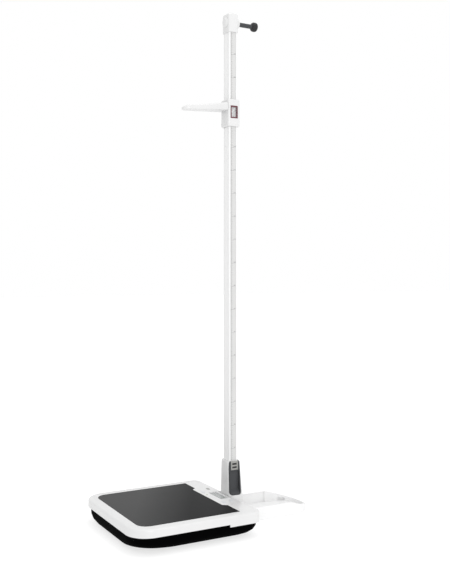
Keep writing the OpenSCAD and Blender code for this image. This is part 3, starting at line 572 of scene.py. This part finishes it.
def arm_surface():
    """The head arm: along Y, sections with a flat underside and a crowned top.

    With t from 0 at the root to 1 at the tip, the half width narrows by 12.5 mm times t^1.15, the
    top falls by 31.5 mm times t^0.86 and the underside by 13.5 mm times t^0.9. With e from 0 to 1
    over the last 34 mm, the width is multiplied by the root of 1 - e^2.6 and the thickness by
    1 - 0.55 e^3, and the underside lifts by 2.2 mm times e^3. A section is a superellipse of power
    3.4 above its middle and 7 below it.
    """
    low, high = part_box("head_arm")
    reach = high.y - low.y
    tip_length, tip_share, places_round = 34 * MM, 0.18, 72
    towards_tip = 1 - np.linspace(0, 1, 26)[1:]
    t = np.concatenate([np.linspace(0, 1 - tip_share, 46), 1 - tip_share * towards_tip ** 2.2])
    e = np.clip((t * reach - (reach - tip_length)) / tip_length, 0, 1)
    half_root = (high.x - low.x) / 2 - 0.3 * MM
    half = (half_root - 12.5 * MM * t ** 1.15) * np.sqrt(np.clip(1 - e ** 2.6, 1e-4, 1))
    root_depth = 38 * MM
    under = high.z - root_depth - 13.5 * MM * t ** 0.9 + 2.2 * MM * e ** 3
    top = high.z - 31.5 * MM * t ** 0.86
    top = under + (top - under) * (1 - 0.55 * e ** 3)
    turn = np.linspace(0, 2 * np.pi, places_round, endpoint=False)
    c, s = np.cos(turn), np.sin(turn)
    power = np.where(s > 0, 3.4, 7.0)
    wide = np.sign(c) * np.abs(c) ** (2 / power)
    tall = np.sign(s) * np.abs(s) ** (2 / power)
    x = half[:, None] * wide
    y = np.repeat((high.y - t * reach)[:, None], places_round, axis=1)
    z = ((top + under) / 2)[:, None] + ((top - under) / 2)[:, None] * tall
    return grid_mesh("head_arm_surface", np.stack([x, y, z], axis=-1))


def tray_edge_path():
    """The middle of the bead along the top of the tray's wall.

    It runs back along one side, round a half ellipse and forward along the other side. From 136 mm
    short of the back end its height falls evenly with y, at the slope that would take it from the
    wall's full height down to 14 mm above the floor over 156 mm.
    """
    low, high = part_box("stabiliser_tray")
    inset, drop = 3.6 * MM, 2.1 * MM
    end_length, side_places, end_places = 0.12, 30, 70
    half = high.x - inset
    centre_y = high.y - end_length
    side = np.linspace(low.y + 0.004, centre_y, side_places)
    turn = np.linspace(0, np.pi, end_places)[1:-1]
    x = np.concatenate([
        np.full(side_places, half), half * np.cos(turn), np.full(side_places, -half)])
    y = np.concatenate([side, centre_y + (end_length - inset) * np.sin(turn), side[::-1]])
    slope_y = high.y - 0.136
    slope = (high.z - 0.014) / 0.156
    z = np.minimum(high.z, high.z - (y - slope_y) * slope) - drop
    return np.stack([x, y, z], axis=-1)


def bead(name, path, radius, sides=14):
    """A round bead of the given radius: each of its rings lies square to the path's direction."""
    ahead = np.gradient(path, axis=0)
    ahead /= np.linalg.norm(ahead, axis=1, keepdims=True)
    side = np.cross(ahead, [0, 0, 1.0])
    side /= np.linalg.norm(side, axis=1, keepdims=True)
    up = np.cross(side, ahead)
    turn = np.linspace(0, 2 * np.pi, sides, endpoint=False)
    ring = side[:, None] * np.cos(turn)[None, :, None] + up[:, None] * np.sin(turn)[None, :, None]
    return grid_mesh(name, path[:, None] + radius * ring)


def numerals_mesh(ruler):
    """The height in figures every ten centimetres, upright on the tape's face, read from +X."""
    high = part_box("tape_strips")[1]
    size_for_height = 1.4  # a font's size is this many times the height of its figures
    face_gap, edge_gap, above_tick, spacing_cm = 0.03 * MM, 5.8 * MM, 1.2 * MM, 10
    vertices, faces = [], []
    for height in range(ruler.first, ruler.last + 1, spacing_cm):
        curve = bpy.data.curves.new("numeral", "FONT")
        curve.body = str(height)
        curve.size = ruler.numeral_height * size_for_height
        curve.align_x = "CENTER"
        curve.resolution_u = 2
        holder = bpy.data.objects.new("numeral", curve)
        flat = holder.to_mesh()
        points = np.empty(len(flat.vertices) * 3)
        flat.vertices.foreach_get("co", points)
        points = points.reshape(-1, 3)
        placed = np.stack([
            np.full(len(points), high.x + face_gap),
            high.y - edge_gap + points[:, 0],
            TREAD_Z + height / 100 + above_tick + points[:, 1]], axis=-1)
        corners = np.empty(len(flat.loops), dtype=np.int32)
        flat.loops.foreach_get("vertex_index", corners)
        starts = np.empty(len(flat.polygons), dtype=np.int32)
        flat.polygons.foreach_get("loop_start", starts)
        faces += [ring.tolist() for ring in np.split(corners + len(vertices), starts[1:])]
        vertices += placed.tolist()
        holder.to_mesh_clear()
        bpy.data.objects.remove(holder)
        bpy.data.curves.remove(curve)
    mesh = bpy.data.meshes.new("tape_numerals")
    mesh.from_pydata(vertices, [], faces)
    mesh.update()
    return mesh


def bumper_profile():
    """The rubber bumper: a barrel with five grip grooves, as (distance, radius) pairs.

    With u from 0 to 1 along it, the barrel's radius is R (1 - |2u - 1|^3.4)^0.42, which closes at
    both ends. A groove takes off 1.1 mm times the square of a cosine wave's upper half; the wave
    has 6.5 periods along the bumper, and only its middle five make grooves.
    """
    low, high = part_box("spacer_bumper")
    full = (high.z - low.z) / 2
    groove_depth, waves, grooved_half, thinnest = 1.1 * MM, 6.5, 0.36, 0.4 * MM
    u = np.linspace(0, 1, 120)
    radius = full * np.clip(1 - np.abs(2 * u - 1) ** 3.4, 0, 1) ** 0.42
    wave = np.clip(np.cos((u - 0.5) * 2 * np.pi * waves), 0, 1) ** 2
    radius -= groove_depth * wave * (np.abs(u - 0.5) < grooved_half)
    return np.stack([u * (high.y - low.y), np.maximum(radius, thinnest)], axis=-1)


# ---------------------------------------------------------------- operators


class SCALE_OT_platform(bpy.types.Operator):
    """Finishes the platform's cover, tread mat and base pan"""

    bl_idname = "scale.platform"
    bl_label = "Platform"

    def execute(self, context):
        look = context.scene.scale_finish
        rounded_copy("top_cover", look.edge, segments=3)
        rounded_copy("tread_mat", look.edge * 0.8)
        rounded_copy("base_pan", look.edge, math.radians(38))
        return {"FINISHED"}


class SCALE_OT_console(bpy.types.Operator):
    """Finishes the console panel, its display, keys and level"""

    bl_idname = "scale.console"
    bl_label = "Console"

    def execute(self, context):
        look = context.scene.scale_finish
        rounded_copy("console_panel", look.fine_edge)
        for key in ("key_power", "key_zero", "key_hold", "key_units"):
            rounded_copy(key, look.fine_edge)
        rounded_copy("display_lens", look.fine_edge)
        keep_nodes("display_module", "level_vial")
        return {"FINISHED"}


class SCALE_OT_works(bpy.types.Operator):
    """Gives the inner pieces of the platform, tower, rod and slide their finishes"""

    bl_idname = "scale.works"
    bl_label = "Inner works"

    def execute(self, context):
        keep_nodes(
            "main_board", "key_switches", "load_plate", "cross_rails", "load_cells",
            "load_cell_bolts", "case_screws", "battery_tray", "battery_cells", "locating_studs",
            "tower_screws", "lock_spring", "joint_plug_1", "joint_plug_2", "joint_plug_3",
            "slide_screws", "glide_shoes", "brake_pad", "brake_spring")
        return {"FINISHED"}


class SCALE_OT_feet(bpy.types.Operator):
    """Finishes the levelling feet and the battery cover"""

    bl_idname = "scale.feet"
    bl_label = "Feet and battery cover"

    def execute(self, context):
        look = context.scene.scale_finish
        for i in range(1, 5):
            rounded_copy(f"foot_pad_{i}", look.edge)
            keep_nodes(f"foot_stud_{i}")
        rounded_copy("battery_cover", look.fine_edge)
        return {"FINISHED"}


class SCALE_OT_stabiliser(bpy.types.Operator):
    """Finishes the stabiliser tray with its rolled edge, the tongue plate and the pads"""

    bl_idname = "scale.stabiliser"
    bl_label = "Stabiliser"

    def execute(self, context):
        look = context.scene.scale_finish
        rounded_copy("stabiliser_tray", look.edge, math.radians(30), 3)
        edge = bead("tray_rolled_edge", tray_edge_path(), 3.5 * MM)
        settle(link("tray_rolled_edge", edge), "stand", "tray_white")
        keep_nodes("tongue_plate", "tray_pads")
        return {"FINISHED"}


class SCALE_OT_tower(bpy.types.Operator):
    """Finishes the socket tower, its inset plate and the release button"""

    bl_idname = "scale.tower"
    bl_label = "Socket tower"

    def execute(self, context):
        look = context.scene.scale_finish
        rounded_copy("socket_tower", look.edge, math.radians(34))
        rounded_copy("tower_insert", look.fine_edge, math.radians(34))
        rounded_copy("lock_button", look.edge * 0.8)
        keep_nodes("button_grips")
        return {"FINISHED"}


class SCALE_OT_rod(bpy.types.Operator):
    """Finishes the rod sections and the measuring tape with its numerals"""

    bl_idname = "scale.rod"
    bl_label = "Rod and tape"

    def execute(self, context):
        look = context.scene.scale_finish
        for i in range(1, 5):
            rounded_copy(f"rod_section_{i}", look.fine_edge)
        keep_nodes("tape_strips")
        numerals = numerals_mesh(context.scene.scale_ruler)
        settle(link("tape_numerals", numerals), "stand", "ink")
        return {"FINISHED"}


class SCALE_OT_head_slide(bpy.types.Operator):
    """Finishes the head slide, its arm and its reading window"""

    bl_idname = "scale.head_slide"
    bl_label = "Head slide"

    def execute(self, context):
        look = context.scene.scale_finish
        rounded_copy("slide_near_shell", look.edge, math.radians(34))
        rounded_copy("slide_far_shell", look.edge, math.radians(34))
        arm = link("head_arm_surface", arm_surface())
        settle(arm, "head_slide", "white_plastic", "head_arm")
        rounded_copy("window_frame", look.fine_edge * 2)
        rounded_copy("reading_lens", look.fine_edge)
        return {"FINISHED"}


class SCALE_OT_cap(bpy.types.Operator):
    """Finishes the cap, the wall spacer and its bumper"""

    bl_idname = "scale.cap"
    bl_label = "Cap and wall spacer"

    def execute(self, context):
        look = context.scene.scale_finish
        rounded_copy("top_cap", look.edge * 1.4, math.radians(34), 3)
        rounded_copy("spacer_rod", look.fine_edge)
        low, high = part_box("spacer_bumper")
        start = (0.0, low.y, (low.z + high.z) / 2)
        bumper = link("bumper_surface", lathe("bumper_surface", bumper_profile(), start))
        settle(bumper, "spacer", "foot_rubber", "spacer_bumper")
        return {"FINISHED"}


class SCALE_OT_stage(bpy.types.Operator):
    """Sets a pale floor, soft lamps and the camera"""

    bl_idname = "scale.stage"
    bl_label = "Studio"

    def execute(self, context):
        studio = context.scene.scale_studio
        self.floor()
        self.lamps(studio)
        self.camera(context.scene, studio)
        context.scene.view_settings.view_transform = "Standard"
        return {"FINISHED"}

    def floor(self):
        """A large flat sheet at z = 0 that glows a little, so that it reads as white."""
        reach = 30.0
        x, y = np.meshgrid((-reach, reach), (-reach, reach))
        points = np.stack([x, y, np.zeros_like(x)], axis=-1)
        ground = link("studio_floor", grid_mesh("studio_floor", points, closed=False))
        shade = Shade("studio_floor", Specular_IOR_Level=0.05, Emission_Color=(1, 1, 1, 1),
                      Emission_Strength=0.70)
        mottle = shade.noise(0.8, 3.0)
        shade.feed(Base_Color=shade.blend(mottle, (0.36, 0.36, 0.36), (0.38, 0.38, 0.38)),
                   Roughness=mottle * 0.1 + 0.7)
        ground.data.materials.append(shade.material)

    def lamps(self, studio):
        """An even white surround, a large key lamp at the +X side and a weaker one above."""
        world = bpy.data.worlds.new("studio_surround")
        world.use_nodes = True
        background = world.node_tree.nodes["Background"]
        background.inputs["Color"].default_value = (1, 1, 1, 1)
        background.inputs["Strength"].default_value = studio.sky
        bpy.context.scene.world = world
        for name, place, aim, size, power in (
                ("key", (6.0, -0.8, 2.0), (0, 0, 0.9), 3.0, studio.lamp),
                ("top", (0.3, 0.2, 6.0), (0, 0, 0.2), 2.6, studio.lamp * 0.62)):
            light = bpy.data.lights.new(name, "AREA")
            light.size = size
            light.energy = power
            lamp = bpy.data.objects.new(name, light)
            lamp.location = place
            lamp.rotation_euler = (Vector(aim) - Vector(place)).to_track_quat("-Z", "Y").to_euler()
            bpy.context.scene.collection.objects.link(lamp)

    def camera(self, scene, studio):
        data = bpy.data.cameras.new("view")
        data.lens = studio.focal
        data.sensor_width = 36.0
        data.shift_y = studio.rise
        data.clip_end = 200.0
        eye = bpy.data.objects.new("view", data)
        eye.location = studio.eye
        heading = Vector((math.cos(studio.turn), math.sin(studio.turn), 0))
        eye.rotation_euler = heading.to_track_quat("-Z", "Y").to_euler()
        scene.collection.objects.link(eye)
        scene.camera = eye


OPERATORS = (SCALE_OT_platform, SCALE_OT_console, SCALE_OT_works, SCALE_OT_feet,
             SCALE_OT_stabiliser, SCALE_OT_tower, SCALE_OT_rod, SCALE_OT_head_slide, SCALE_OT_cap,
             SCALE_OT_stage)


class SCALE_PT_panel(bpy.types.Panel):
    """Lists the pieces and their sizes and colours."""

    bl_label = "Floor Scale"
    bl_idname = "SCALE_PT_panel"
    bl_space_type = "VIEW_3D"
    bl_region_type = "UI"
    bl_category = "Floor Scale"

    def draw(self, context):
        scene = context.scene
        for group in (scene.scale_finish, scene.scale_ruler, scene.scale_studio):
            column = self.layout.column()
            for name in group.bl_rna.properties.keys():
                if name not in ("rna_type", "name"):
                    column.prop(group, name)
        for operator in OPERATORS:
            self.layout.operator(operator.bl_idname)


CLASSES = (ScaleFinish, ScaleRuler, ScaleStudio) + OPERATORS + (SCALE_PT_panel,)


def register():
    for item in CLASSES:
        bpy.utils.register_class(item)
    bpy.types.Scene.scale_finish = PointerProperty(type=ScaleFinish)
    bpy.types.Scene.scale_ruler = PointerProperty(type=ScaleRuler)
    bpy.types.Scene.scale_studio = PointerProperty(type=ScaleStudio)


def unregister():
    del bpy.types.Scene.scale_studio, bpy.types.Scene.scale_ruler, bpy.types.Scene.scale_finish
    for item in reversed(CLASSES):
        bpy.utils.unregister_class(item)


def main():
    register()
    for operator in OPERATORS:
        group, name = operator.bl_idname.split(".")
        getattr(getattr(bpy.ops, group), name)()


if __name__ == "__main__":
    main()
